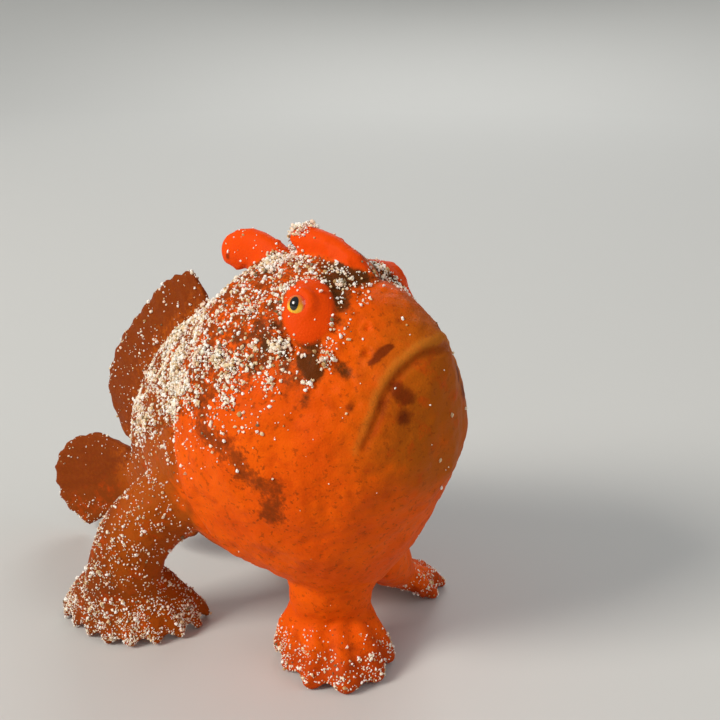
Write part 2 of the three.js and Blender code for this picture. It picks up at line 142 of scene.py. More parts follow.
def trunk():
    """Rays from a spine: fanned round the head's centre, then square to the body's axis along the
    spine, then fanned round the tail's end; each runs out to the skin."""
    fan, march, close = 64, 60, 14
    along = np.concatenate([np.zeros(fan), np.linspace(0, 1, march), np.ones(close)])
    tilt = np.concatenate([np.linspace(1, 89, fan), np.full(march, 90.0), np.linspace(92, 179, close)])
    tilt = np.radians(tilt)
    turn = np.linspace(0, 2 * np.pi, 180, endpoint=False)
    ahead = np.array([np.cos(BODY_PITCH), 0, np.sin(BODY_PITCH)])
    up = np.array([-np.sin(BODY_PITCH), 0, np.cos(BODY_PITCH)])
    out = np.cos(turn)[:, None] * up + np.sin(turn)[:, None] * np.array([0.0, 1.0, 0.0])
    ways = np.cos(tilt)[:, None, None] * ahead + np.sin(tilt)[:, None, None] * out[None]
    starts = np.broadcast_to(through(SPINE, along)[:, None, :], ways.shape)
    far = reach(starts.reshape(-1, 3), ways.reshape(-1, 3)).reshape(len(along), len(turn), 1)
    return closed_tube(starts + far * ways)


flesh_parts = [trunk()]


# The mouth, nostrils and lids: folds of the same skin. The mouth is shut, an arch from the corner
# of each jaw up over the chin, with a thick upper lip, a thin lower one and a groove between.
def limb(stops, steps=60, around=28):
    """Ellipses carried along a smooth path: each stop gives the centre, the half width and half
    thickness, and the way that the width lies."""
    t = np.linspace(0, 1, steps)
    centre = through([s[0] for s in stops], t)
    size = through([(s[1], s[2], 0) for s in stops], t)
    wide = through([s[3] for s in stops], t)
    tangent = np.gradient(centre, axis=0)
    tangent /= np.linalg.norm(tangent, axis=1, keepdims=True)
    wide -= (wide * tangent).sum(axis=1, keepdims=True) * tangent
    wide /= np.linalg.norm(wide, axis=1, keepdims=True)
    thick = np.cross(tangent, wide)
    v = np.linspace(0, 2 * np.pi, around, endpoint=False)
    rings = (
        centre[:, None]
        + size[:, None, :1] * np.cos(v)[None, :, None] * wide[:, None]
        + size[:, None, 1:2] * np.sin(v)[None, :, None] * thick[:, None]
    )
    return closed_tube(rings)


MOUTH = np.array(  # azimuth and elevation from the head's centre, from the middle to the right corner
    [(0, 34.5), (-7, 35), (-14, 33.5), (-20, 31), (-25, 27), (-29, 22), (-32.5, 15), (-35.5, 9), (-38.5, 3)]
)
CHIN = np.array([0.0, 12.0])


def mouth_arch(away, sunk):
    """The mouth line from corner to corner, moved away from the chin by some degrees and sunk by
    some mm under the skin."""
    out = MOUTH - CHIN
    right = MOUTH + away * out / np.linalg.norm(out, axis=1, keepdims=True)
    left = right[1:] * [-1, 1]
    line = np.vstack([right[::-1], left])
    return on_head(line[:, 0], line[:, 1], -sunk)


def bead(points, radius, steps=160, around=16):
    """A round bead along points, drawn thin at both ends as the root of a sine."""
    swell = 0.3 + 0.7 * np.sqrt(np.sin(np.pi * np.linspace(0, 1, len(points))))
    return limb([(p, radius * s, radius * s, (0.3, 0.2, 1)) for p, s in zip(points, swell)], steps, around)


flesh_parts.append(bead(mouth_arch(away=3.4, sunk=1.0), radius=1.7))
flesh_parts.append(bead(mouth_arch(away=-3.2, sunk=1.1), radius=1.4))
mouth_line = through(mouth_arch(away=0.0, sunk=0.0), np.linspace(0, 1, 240))

NOSTRILS = [(33, 42, 0.9), (30, 52, 0.7)]  # azimuth, elevation and radius, on both sides
EYE_RADIUS = 2.6
EYES = {
    "eye_right": (EYE_PLACE, np.array([0.25, -0.82, 0.42])),
    "eye_left": (EYE_PLACE * [1, -1, 1], np.array([0.25, 0.82, 0.42])),
}


def square_to(way):
    """The level direction square to a line of sight, and the upright one square to both."""
    level = np.cross([0, 0, 1], way)
    level /= np.linalg.norm(level)
    return level, np.cross(way, level)


def lid_ring(centre, way, radius, thick, around=64, section=16):
    """A ring of flesh about a line of sight: a small circle of radius thick carried round a large one."""
    way = way / np.linalg.norm(way)
    side, top = square_to(way)
    u = np.linspace(0, 2 * np.pi, around, endpoint=False)[:, None, None]
    v = np.linspace(0, 2 * np.pi, section, endpoint=False)[None, :, None]
    out = np.cos(u) * side + np.sin(u) * top
    points = centre + out * (radius + thick * np.cos(v)) + way * thick * np.sin(v)
    i, j = np.meshgrid(np.arange(around), np.arange(section), indexing="ij")
    ring, next_ring = i * section, (i + 1) % around * section
    k = (j + 1) % section
    quads = np.stack([ring + j, next_ring + j, next_ring + k, ring + k], axis=-1)
    return points.reshape(-1, 3), [quads.reshape(-1, 4)]


for centre, way in EYES.values():
    flesh_parts.append(lid_ring(centre + 0.75 * way, way, radius=EYE_RADIUS + 0.25, thick=0.85))


# The first three dorsal spines: the lure's thin rod, a rounded lobe laid back over the crown,
# and a broader lobe behind it. The two lobes are skin over bone and are part of the one skin.
LOBE_TWO = [
    ((13, 0, 88), 2.8, 2.4, (1, 0, 0.2)),
    ((9.5, 0, 93.5), 3, 2.4, (1, 0, 0.6)),
    ((3.5, 0, 96.8), 3.1, 2.6, (0.5, 0, 1)),
    ((-4, 0, 98), 3.3, 2.7, (0, 0, 1)),
    ((-7.6, 0, 97.9), 2.3, 1.9, (0, 0, 1)),
    ((-8.8, 0, 97.8), 0.5, 0.4, (0, 0, 1)),
]
LOBE_THREE = [
    ((-8, 0, 86), 4.6, 2.8, (1, 0, 0.2)),
    ((-13, 0, 91), 4.8, 2.9, (0.8, 0, 0.8)),
    ((-20, 0, 93.8), 4.8, 3, (0.3, 0, 1)),
    ((-26, 0, 93), 4.4, 2.7, (0, 0, 1)),
    ((-29.4, 0, 92.2), 2.9, 2, (0, 0, 1)),
    ((-31, 0, 91.8), 0.5, 0.4, (0, 0, 1)),
]
flesh_parts.append(limb(LOBE_TWO))
flesh_parts.append(limb(LOBE_THREE))


# The unpaired fins: fleshy sheets over bony rays, opaque at the root and thinner at the edge.
# Each ray stands out as a ridge on both faces, and the edge dips between the rays.
def fin_sheet(root, edge, rays, bow=0.0, halves=(1.6, 0.5), rise=0.35, notch=0.02, steps=40):
    """A sheet between two smooth lines, with u along them and v on the straight spokes from root to
    edge: pushed sideways by bow sin(pi (u + v) / 2), half as thick as its taper from the first to the
    second of halves plus rise cos^2 on the rays, and rounded off at root and edge."""
    per_ray = 10  # columns of points to each ray
    columns = rays * per_ray + 1
    u = np.linspace(0, 1, columns)
    ridge = np.cos(np.pi * np.arange(columns) / per_ray - np.pi / 2) ** 2
    v = np.linspace(0, 1, steps)[None, :] * (1 - notch * (1 - ridge))[:, None]
    start, stop = through(root, u)[:, None], through(edge, u)[:, None]
    middle = start + (stop - start) * v[..., None]
    middle[..., 1] += bow * np.sin(np.pi * (u[:, None] + v) / 2)
    along, out = np.gradient(middle, axis=0), np.gradient(middle, axis=1)
    normal = np.cross(along, out)
    normal /= np.linalg.norm(normal, axis=-1, keepdims=True) + 1e-12
    w = np.linspace(0, 1, steps)[None, :]
    half = halves[0] * (1 - w) + halves[1] * w + rise * ridge[:, None] * (0.5 + 0.5 * w)
    half = half * np.sqrt(np.clip(1 - (np.abs(w - 0.5) * 2) ** 24, 0.05, 1))
    front, back = middle + normal * half[..., None], middle - normal * half[..., None]
    rings = np.concatenate([front, back[:, ::-1]], axis=1)
    return closed_tube(rings)


DORSAL = dict(
    root=[(-30, 0, 72), (-44, 0, 62), (-54, 0, 48), (-62, 0, 33)],
    edge=[(-41, 0, 87), (-51, 0, 82.5), (-62, 0, 73), (-74, 0, 61), (-80.5, 0, 47), (-75, 0, 33.5)],
    rays=12,
    bow=-1.5,
)
CAUDAL = dict(
    root=[(-68, 0, 29), (-70, 0, 25), (-71, 0, 20), (-70, 0, 16)],
    edge=[(-87, -3, 32), (-98, -6, 27), (-103, -8, 18), (-100, -8, 8), (-91, -5, 1.5)],
    rays=9,
    bow=2,
)
ANAL = dict(
    root=[(-40, 0, 26), (-48, 0, 24), (-56, 0, 22), (-62, 0, 21)],
    edge=[(-47, 0, 12), (-56, 0, 7), (-66, 0, 6), (-72, 0, 11)],
    rays=7,
)
for fin in (DORSAL, CAUDAL, ANAL):
    flesh_parts.append(fin_sheet(**fin))


# Arms and legs: the pectoral and pelvic fins, which a frogfish walks on. A thick stalk ends in a
# palm whose short rays spread as fingers on the ground, joined by skin nearly to their tips.
KNUCKLE = np.array([0, 0, 1.2])  # how far a finger rises over the middle of its length


def splayed(stops, root, edge, fingers, girth):
    """A limb, its fingers from root line to edge line, and the web between them as a sheet: each
    finger is a tapering limb that rises a little over its knuckle and comes down on its tip."""
    parts = [limb(stops)]
    u = (np.arange(fingers) + 0.5) / fingers
    start, stop = through(root, u), through(edge, u)
    for a, b in zip(start, stop):
        out = (b - a) / np.linalg.norm(b - a)
        across = np.cross(out, [0, 0, 1])
        tip = b - out * girth * 0.6 + np.array([0, 0, girth * 0.04])
        knuckle = a * 0.5 + tip * 0.5 + KNUCKLE
        stations = [
            (a, girth * 1.1, girth, across),
            (knuckle, girth, girth * 0.9, across),
            (tip, girth * 0.9, girth * 0.7, across),
            (tip + out * girth * 0.7, girth * 0.25, girth * 0.2, across),
        ]
        parts.append(limb(stations, 24, 14))
    rim = through(edge, np.linspace(0, 1, 12)) - np.array([0, 0, 0.2])
    parts.append(fin_sheet(root, rim, fingers, halves=(2.8, 0.9), rise=0.3, notch=0.1, steps=16))
    return parts


ARM_RIGHT = [
    ((-20, -13, 42), 9, 8, (-0.3, -0.25, 0.9)),
    ((-29, -20, 37), 8.8, 7.5, (-0.5, -0.4, 0.8)),
    ((-36.5, -26, 28), 8.8, 6.6, (-0.7, -0.55, 0.5)),
    ((-40, -28.5, 17), 9, 5.2, (-0.77, -0.64, 0.1)),
    ((-42, -27, 7), 11, 3.4, (-0.77, -0.64, 0)),
]
HAND_RIGHT = dict(
    root=[(-47, -32, 17), (-44, -30, 16), (-39, -26, 16), (-36, -22, 17)],
    edge=[
        (-63, -31, 0.7),
        (-57, -34.5, 0.6),
        (-47, -36, 0.6),
        (-37, -34, 0.6),
        (-30, -26.5, 0.6),
        (-28, -17, 0.6),
        (-32, -9, 0.7),
    ],
    fingers=10,
    girth=1.7,
)
ARM_LEFT = [
    ((-16, 13, 42), 9, 8, (-0.3, 0.25, 0.9)),
    ((-22, 21, 37), 8.8, 7.5, (-0.5, 0.4, 0.8)),
    ((-27.5, 27, 28), 8.8, 6.6, (-0.7, 0.55, 0.5)),
    ((-30, 29.5, 17), 9, 5.2, (-0.77, 0.64, 0.1)),
    ((-32, 28, 7), 11, 3.4, (-0.77, 0.64, 0)),
]
HAND_LEFT = dict(
    root=[(-37, 33, 17), (-34, 31, 16), (-29, 27, 16), (-26, 23, 17)],
    edge=[
        (-53, 32, 0.7),
        (-47, 35.5, 0.6),
        (-37, 37, 0.6),
        (-27, 35, 0.6),
        (-20, 27.5, 0.6),
        (-18, 18.5, 0.6),
        (-22, 11, 0.7),
    ],
    fingers=10,
    girth=1.7,
)
LEG_RIGHT = [
    ((6.4, -2.6, 32), 11, 9, (0.77, 0.64, 0)),
    ((5, -3.8, 22), 10, 8, (0.77, 0.64, 0)),
    ((4, -4, 13), 9.2, 6, (0.77, 0.64, 0)),
    ((5.6, -6, 5), 9.6, 3.4, (0.77, 0.64, 0)),
]
FOOT_RIGHT = dict(
    root=[(-2, -9, 15), (1.5, -6.5, 14), (6.5, -2.5, 14), (10, 1, 15)],
    edge=[
        (-9, -8, 0.7),
        (-4, -12.5, 0.6),
        (5, -16, 0.6),
        (13, -15, 0.6),
        (19, -8, 0.6),
        (18.5, 0, 0.6),
        (15, 7, 0.7),
    ],
    fingers=6,
    girth=2.4,
)
LEG_LEFT = [
    ((7, 5, 32), 8.5, 8, (0.9, 0.3, 0)),
    ((6, 12, 21), 7.5, 6.5, (1, 0, 0.3)),
    ((3, 21, 12), 6.5, 4.6, (1, 0, 0)),
    ((1, 28, 5.5), 7, 3, (1, -0.2, 0)),
]
FOOT_LEFT = dict(
    root=[(-3, 19, 13), (-1, 21, 12), (4, 21, 12), (7, 19, 13)],
    edge=[
        (-11, 27, 0.7),
        (-9, 35, 0.6),
        (-3, 40, 0.6),
        (4, 40.5, 0.6),
        (8, 36, 0.6),
        (8, 28, 0.7),
    ],
    fingers=5,
    girth=2.2,
)
for stops, spread in (
    (ARM_RIGHT, HAND_RIGHT),
    (ARM_LEFT, HAND_LEFT),
    (LEG_RIGHT, FOOT_RIGHT),
    (LEG_LEFT, FOOT_LEFT),
):
    flesh_parts.extend(splayed(stops, **spread))


# The skin: all the flesh above drawn over by one closed surface. Living frogfish skin is loose,
# scaleless and velvety, with low warts. It is wrapped at 0.7 mm or so, eased where pieces meet, then
# given its mouth groove, nostrils, creases and warts as real relief.
def joined(parts):
    """All points in one array, and all faces in one list with their numbers moved up to match."""
    faces, offset = [], 0
    for points, kinds in parts:
        for kind in kinds:
            faces.extend((kind + offset).tolist())
        offset += len(points)
    return np.vstack([points for points, _ in parts]), faces


def to_mesh(name, points_mm, faces):
    """Millimetre points set down in the part's frame, in metres."""
    mesh = bpy.data.meshes.new(name)
    mesh.from_pydata(((points_mm + SET_DOWN) / 1000).tolist(), [], faces)
    mesh.update()
    return mesh


def add_object(name, mesh):
    """An object of a mesh, at the origin, linked to the scene."""
    thing = bpy.data.objects.new(name, mesh)
    bpy.context.scene.collection.objects.link(thing)
    return thing


def points_of(mesh):
    """A mesh's points as millimetre places, as they were before they were set down."""
    flat = np.empty(len(mesh.vertices) * 3)
    mesh.vertices.foreach_get("co", flat)
    return flat.reshape(-1, 3) * 1000 - SET_DOWN


def normals_of(mesh):
    """The outward unit normal at each of a mesh's points."""
    flat = np.empty(len(mesh.vertices) * 3)
    mesh.vertices.foreach_get("normal", flat)
    return flat.reshape(-1, 3)


VOXEL = 0.68  # mm
rough = add_object("rough_flesh", to_mesh("rough_flesh", *joined(flesh_parts)))
wrap = rough.modifiers.new("wrap", "REMESH")
wrap.mode = "VOXEL"
wrap.voxel_size = VOXEL / 1000
wrap.adaptivity = 0
wrap.use_smooth_shade = True
bpy.context.view_layer.update()
wrapped = bpy.data.meshes.new_from_object(rough.evaluated_get(bpy.context.evaluated_depsgraph_get()))
bpy.data.objects.remove(rough)
skin_points = points_of(wrapped)
edges = np.empty(len(wrapped.edges) * 2, int)
wrapped.edges.foreach_get("vertices", edges)
edges = edges.reshape(-1, 2)
neighbours = np.bincount(edges.ravel(), minlength=len(skin_points)).astype(float)[:, None]


def eased(values, share, rounds):
    """Each value moved part of the way to the mean of its neighbours, again and again."""
    for _ in range(rounds):
        total = np.zeros_like(values)
        for k in range(values.shape[1]):
            total[:, k] = np.bincount(edges[:, 0], values[edges[:, 1], k], len(values))
            total[:, k] += np.bincount(edges[:, 1], values[edges[:, 0], k], len(values))
        values = values + share * (total / neighbours - values)
    return values


def near(points, place, radius):
    """1 at a place, falling smoothly to 0 at the radius: (1 - r^2)^2."""
    r2 = (((points - place) / radius) ** 2).sum(axis=-1)
    return np.clip(1 - r2, 0, 1) ** 2


def waves(points, size, seed, count=30):
    """Even, seeded noise of about unit spread: the sum of sine waves in random directions whose
    length is near a given size in mm."""
    draw = np.random.default_rng(seed)
    ways = draw.normal(size=(count, 3))
    lengths = np.linalg.norm(ways, axis=1, keepdims=True)
    ways *= 2 * np.pi / size * draw.uniform(0.7, 1.4, (count, 1)) / lengths
    return np.sin(points @ ways.T + draw.uniform(0, 2 * np.pi, count)).sum(axis=1) * np.sqrt(2 / count)


def line_gap(points, line, block=24):
    """Distance from each point to the nearest of a line's points, looked up a block at a time."""
    best = np.full(len(points), 1e9)
    for start in range(0, len(line), block):
        some = line[start : start + block]
        best = np.minimum(best, np.linalg.norm(points[:, None] - some[None], axis=-1).min(axis=1))
    return best


def ramp(values, start, end):
    """0 before start, 1 past end and straight between them, whichever way end lies."""
    return np.clip((values - start) / (end - start), 0, 1)


def furrow(gap, deep, half_width):
    """A groove along a line, or a ridge if deep is negative: -deep exp(-(gap / half_width)^2)."""
    return -deep * np.exp(-((gap / half_width) ** 2))


# Ease the stairs of the wrap everywhere, and more where pieces meet, which is where the skin
# stands a little off the trunk. The mouth and the lids keep their edges
MOUTH_ZONE = ((24, 0, 74), (17, 22, 22))  # middle and radii
LID_ZONE = 6  # mm about the middle of each eye
skin_points = eased(skin_points, share=0.5, rounds=3)
off_trunk = np.abs(depth(skin_points))
at_joint = eased(((off_trunk > 0.35) & (off_trunk < 2.2)).astype(float)[:, None], share=0.5, rounds=3)
at_joint *= 1 - np.clip(2.5 * near(skin_points, *MOUTH_ZONE), 0, 1)[:, None]
for centre, _ in EYES.values():
    at_joint *= 1 - np.clip(3 * near(skin_points, centre, LID_ZONE), 0, 1)[:, None]
softer = eased(skin_points, share=0.5, rounds=14)
skin_points = skin_points + (softer - skin_points) * np.clip(at_joint * 1.5, 0, 1)
wrapped.vertices.foreach_set("co", ((skin_points + SET_DOWN) / 1000).ravel())
wrapped.update()
skin_normals = normals_of(wrapped)

TURRET = np.array([9.2, -14.9, 89.0])  # middle of the right turret's outer face
TURRET_WAY = np.array([0.51, -0.69, 0.52])


def turret_edge(points, side):
    """1 on the foot of a turret and less inside: sqrt((a / half width)^2 + (b / half height)^2), with a
    level and b upright on the turret's face, and far off wherever a point lies deep behind the face."""
    half_width, half_height, behind, far_off = 5.3, 7.2, -7, 9
    offset = points * [1, -side, 1] - TURRET
    level, upright = square_to(TURRET_WAY)
    edge = np.sqrt((offset @ level / half_width) ** 2 + (offset @ upright / half_height) ** 2)
    return np.where(offset @ TURRET_WAY > behind, edge, far_off)


# Relief in mm along the normal, first the drawn lines: the groove of the mouth, the swell of each
# turret with a groove at its foot, the crease behind the jaw's corner, the cheek's fold, the nostrils
turret = np.minimum(turret_edge(skin_points, -1), turret_edge(skin_points, 1))
mouth_gap = line_gap(skin_points, mouth_line)
relief = furrow(mouth_gap, deep=0.6, half_width=0.9)
relief += 0.35 * np.exp(-((turret / 0.85) ** 6))
relief += furrow(turret - 1.18, deep=0.7, half_width=0.2)
CREASE = np.array([(45, 35.5), (42, 30), (41.5, 26), (40, 22)])  # azimuth and elevation, on both sides
for side in (-1, 1):
    crease = through(on_head(side * CREASE[:, 0], CREASE[:, 1]), np.linspace(0, 1, 60))
    relief += furrow(line_gap(skin_points, crease), deep=0.45, half_width=0.7)
FOLD = np.array(
    [(-15, -25, 77), (-19, -25, 68.6), (-20, -26.4, 60), (-20, -26.5, 52.5)]
    + [(-18.5, -26, 45), (-17, -24, 38), (-14, -20, 31)]
)
fold = through(FOLD, np.linspace(0, 1, 120))
for mirror in (1, -1):
    valley = fold * [1, mirror, 1]
    cheek_edge = valley + [4.2, 0, 1.0]
    relief += furrow(line_gap(skin_points, valley), deep=0.9, half_width=1.3)
    relief += furrow(line_gap(skin_points, cheek_edge), deep=-0.8, half_width=3.2)
for azimuth, elevation, radius in NOSTRILS:
    for side in (-1, 1):
        r = np.linalg.norm(skin_points - on_head(side * azimuth, elevation)[0], axis=1)
        relief += furrow(r - radius - 0.4, deep=-0.3, half_width=0.35)
        relief += furrow(r, deep=0.6, half_width=radius)

# Then the skin's slack and its warts, held back on turrets, mouth, fins and lobes, and strongest
# where the skin is sandy. All relief fades out towards the soles
ruffled = 1 - 1.2 * np.exp(-((turret / 1.05) ** 6)) - 0.7 * np.exp(-((mouth_gap / 3.5) ** 2))
ruffled = np.clip(ruffled, 0, 1)
x, y, z = skin_points.T
ruffled *= 1 - 0.75 * ramp(depth(skin_points), 2, 5) * ((x < -36) | (z > 88))
relief += ruffled * (0.15 * waves(skin_points, size=9, seed=3) + 0.06 * waves(skin_points, size=3.2, seed=5))
sandy = ramp(z - 0.65 * x, 66, 75) * ramp(x, 21, 12)
warts = np.clip(waves(skin_points, size=2.6, seed=11) - 1.0, 0, 1.3)
relief += ruffled * warts * (0.1 + 0.32 * sandy)
relief *= ramp(z, SOLE + 0.2, SOLE + 1.7)
skin_points = skin_points + relief[:, None] * skin_normals
skin_points[:, 2] = np.maximum(skin_points[:, 2], SOLE)
wrapped.vertices.foreach_set("co", ((skin_points + SET_DOWN) / 1000).ravel())
wrapped.update()
skin = add_object("skin", wrapped)
wrapped.name = "skin"

# Markings kept with the skin as named amounts per point, the same on both sides: olive-brown
# blotches, small red-brown spots, bright turrets and lobes, painted shade in the mouth's groove and a
# painted highlight along the lip, the mottled sandy zone, the browner rear, fins and feet, and the
# duller front; the rear and the front are partly painted shade, where the body turns from the light
BLOTCHES = [  # place, radius, strength
    ((9.3, -7.4, 93.0), 3.6, 1.0),
    ((8.5, -3.5, 94.0), 4.2, 1.0),
    ((11.5, -8.8, 91.6), 3.2, 0.9),
    ((13.2, -10.2, 89.5), 2.8, 0.75),
    ((11.0, -2.0, 93.0), 4.0, 0.9),
    ((14.5, -11, 87.5), 2.5, 0.5),
    ((12.0, -17.2, 82.6), 2.8, 0.85),
    ((12.7, -18.7, 79.7), 2.8, 1.0),
    ((14.2, -18.8, 77.9), 2.6, 0.9),
    ((12.4, -21.3, 75.6), 3.6, 0.6),
    ((14.2, -21.2, 73.8), 3.2, 0.5),
    ((2.0, -19.5, 86.0), 5.0, 0.5),
    ((2.5, -22.5, 81.0), 6.0, 0.55),
    ((8.5, -21.5, 78.5), 4.0, 0.5),
    ((19.2, -15.3, 78.6), 2.4, 0.6),
]
SPOTS = [  # place, radius, strength: beside the mouth and behind its corner
    ((27.9, -9.9, 74.6), 2.6, 0.9),
    ((29.0, -8.6, 73.6), 2.6, 1.0),
    ((29.6, -9.7, 69.8), 2.7, 0.85),
    ((28.3, -13.3, 66.3), 2.2, 0.45),
    ((27.0, -12.7, 72.0), 3.0, 0.5),
    ((30.2, -3.0, 80.4), 2.4, 0.4),
    ((23.4, -4.6, 86.6), 1.6, 0.45),
    ((22.2, -17.1, 72.3), 1.5, 0.6),
]
SLIT = np.array([(-32.5, 37.1), (-30.4, 38), (-27, 39.8), (-22.7, 41.5), (-19.1, 42.1)])  # over the lip
LOBE_SPOT = np.array([-27, 2.6, 91.8])  # on the third spine's tip
MOTTLED = np.array(  # the broken band from the cheek's top to its foot
    [(-12, -25, 76), (-9.4, -27.5, 70), (-6.4, -29.2, 63.6), (2, -29, 60)]
    + [(4.2, -28.5, 57), (9.3, -26.7, 54), (8.9, -26, 48)]
)


def patches(points, places, spread):
    """The greatest of all patches at a point, each near(place, radius spread) strength, on both sides."""
    most = np.zeros(len(points))
    for place, radius, strength in places:
        for mirror in (1, -1):
            patch = near(points, np.array(place) * [1, mirror, 1], radius * spread)
            most = np.maximum(most, patch * strength)
    return most


def keep_amount(mesh, name, values):
    """Values from 0 to 1, one to a point, kept on the mesh under a name that its material reads."""
    layer = mesh.attributes.new(name, "FLOAT", "POINT")
    layer.data.foreach_set("value", np.clip(values, 0, 1).astype(np.float32))


dark = patches(skin_points, BLOTCHES, 1.6)
spot = patches(skin_points, SPOTS, 1.3)
band = np.zeros(len(skin_points))
for mirror in (1, -1):
    slit = through(on_head(mirror * SLIT[:, 0], SLIT[:, 1]), np.linspace(0, 1, 40))
    taper = np.clip(1.1 - (np.linalg.norm(skin_points - slit[20], axis=1) / 4.2) ** 2, 0.3, 1)
    spot = np.maximum(spot, 1.3 * np.exp(-((line_gap(skin_points, slit) / (0.95 * taper)) ** 2)))
    spot = np.maximum(spot, near(skin_points, LOBE_SPOT * [1, mirror, 1], 1.6))
    mottled = through(MOTTLED * [1, mirror, 1], np.linspace(0, 1, 80))
    band = np.maximum(band, np.exp(-((line_gap(skin_points, mottled) / 4.2) ** 2)))
off_trunk = depth(skin_points)
lobe = ramp(off_trunk, 0.7, 1.9) * (z > 86) * (x > -34)
ragged = 2.5 * waves(skin_points, size=13, seed=31) + 1.2 * waves(skin_points, size=4, seed=32)
# the line along the top of the upper lip, where a highlight is painted
lip_line = through(mouth_arch(away=3.6, sunk=-0.8), np.linspace(0, 1, 160))
amounts = {
    "dark": dark * (1 - lobe),
    "spot": spot,
    "sandy": sandy * (1 - lobe),
    "fins": ramp(off_trunk, 2, 8) * ramp(x, -34, -40),
    # the rear: partly a browner colour, partly painted shade where the body turns from the light
    "rear": ramp(ragged - x, 13, 24) * (1 - lobe),
    "foot": ramp(z, 13, 5) * (x > -20),
    "band": band,
    # the front of the face: a yellower hue, and partly painted shade where the face turns from the light
    "front": ramp(x + 0.25 * y, 12, 30) * ramp(z + 3 * waves(skin_points, size=14, seed=33), 38, 64),
    "bright": np.maximum(1 / (1 + np.exp((turret - 1.0) * 14)), lobe),
    # painted shade in the mouth's groove
    "mouth": np.exp(-((mouth_gap / 1.1) ** 2)),
    # painted highlight along the upper lip
    "lip": np.exp(-((line_gap(skin_points, lip_line) / 1.5) ** 2)),
}
for name, values in amounts.items():
    keep_amount(wrapped, name, values)
wrapped.polygons.foreach_set("use_smooth", np.ones(len(wrapped.polygons), bool))


def linear(colour):
    """sRGB hex to linear: each of its parts c is ((c + 0.055) / 1.055)^2.4, or c / 12.92 when small."""
    parts = [int(colour[i : i + 2], 16) / 255 for i in (1, 3, 5)]
    return [((c + 0.055) / 1.055) ** 2.4 if c > 0.04045 else c / 12.92 for c in parts] + [1.0]


def node(tree, kind, settings=None, outlet=None, **links):
    """Adds a node, sets its properties and its sockets' values, links the sockets given by name or as
    i0, i1 and so on, and gives back the outlet asked for, or else its first one in use."""
    made = tree.nodes.new(kind)
    for key, value in (settings or {}).items():
        if isinstance(key, str) and hasattr(made, key):
            setattr(made, key, value)
        else:
            made.inputs[key].default_value = value
    for key, source in links.items():
        target = made.inputs[int(key[1:])] if key[1:].isdigit() else made.inputs[key.replace("_", " ")]
        tree.links.new(source, target)
    if outlet:
        return made.outputs[outlet]
    in_use = [socket for socket in made.outputs if socket.enabled]
    return in_use[0] if in_use else made


def per_metre(size):
    """The Scale of a pattern on Object coordinates: how many cells of a size in mm make a metre."""
    return round(1000 / size)


def blank_material(name):
    """A material without nodes, and its tree."""
    material = bpy.data.materials.new(name)
    material.use_nodes = True
    material.node_tree.nodes.clear()
    return material, material.node_tree


# Scaleless fish skin, vivid orange: velvety, so it is rough and hardly shines, with a little light
# scattered under it. It is finely grained and freckled, and its olive-brown blotches have broken
# edges. The grain is drawn at about 0.5 mm, as fine as the picture can show.
skin_material, tree = blank_material("scaleless_orange_skin")
place = node(tree, "ShaderNodeTexCoord", outlet="Object")
clouds = {"Scale": per_metre(11.11), "Detail": 4.0, "Roughness": 0.6}
broad = node(tree, "ShaderNodeTexNoise", clouds, Vector=place)
marbling = {"Scale": per_metre(3.333), "Detail": 5.0, "Roughness": 0.65}
medium = node(tree, "ShaderNodeTexNoise", marbling, Vector=place)
freckles = {"Scale": per_metre(1.0), "Detail": 3.0, "Roughness": 0.6}
freckle = node(tree, "ShaderNodeTexNoise", freckles, Vector=place)
grain = node(tree, "ShaderNodeTexVoronoi", {"Scale": per_metre(0.4762)}, Vector=place)
LAYERS = [  # colour, most of it, kept amount, pattern, how far the pattern frays it, from, to
    ("#EC5C01", 1.0, None, broad, 1.0, -0.15, 0.18),  # clearer orange in clouds
    # duller, yellower front: its own hue, and partly painted shade where the face turns from the light
    ("#A8560A", 0.9, "front", medium, 0.9, 0.0, 0.95),
    # browner rear: partly its own colour, partly painted shade where the body turns from the light
    ("#8E480C", 0.8, "rear", medium, 0.8, 0.1, 1.0),
    ("#7A3408", 0.75, "fins", medium, 0.8, 0.2, 1.0),
    ("#C84402", 0.55, None, medium, 1.0, 0.0, 0.2),  # redder marbling
    ("#7E380A", 0.8, "sandy", medium, 2.4, 0.8, 1.25),
    ("#7E3208", 0.65, "sandy", freckle, 3.0, 0.75, 1.2),
    ("#74300A", 0.75, "band", medium, 2.0, 0.55, 1.2),
    ("#7A3208", 0.6, "band", freckle, 3.0, 0.5, 1.1),
    ("#8A3A06", 0.5, None, freckle, 1.0, 0.06, 0.18),  # freckles all over
    ("#46290C", 0.9, "dark", medium, 1.4, 0.2, 0.7),
    ("#A23404", 0.7, "foot", medium, 1.4, 0.35, 1.1),
    ("#EA4802", 0.95, "bright", medium, 0.2, 0.2, 0.9),
    # pale lip: a painted highlight along the top of the upper lip
    ("#D8862A", 0.35, "lip", medium, 0.4, 0.2, 0.9),
    # darker along the mouth: painted shade in its groove
    ("#8A3206", 0.35, "mouth", medium, 0.5, 0.2, 0.9),
    ("#6A2404", 0.85, "spot", medium, 1.1, 0.2, 0.85),
]
colour = node(tree, "ShaderNodeRGB")
colour.default_value = linear("#E25202")
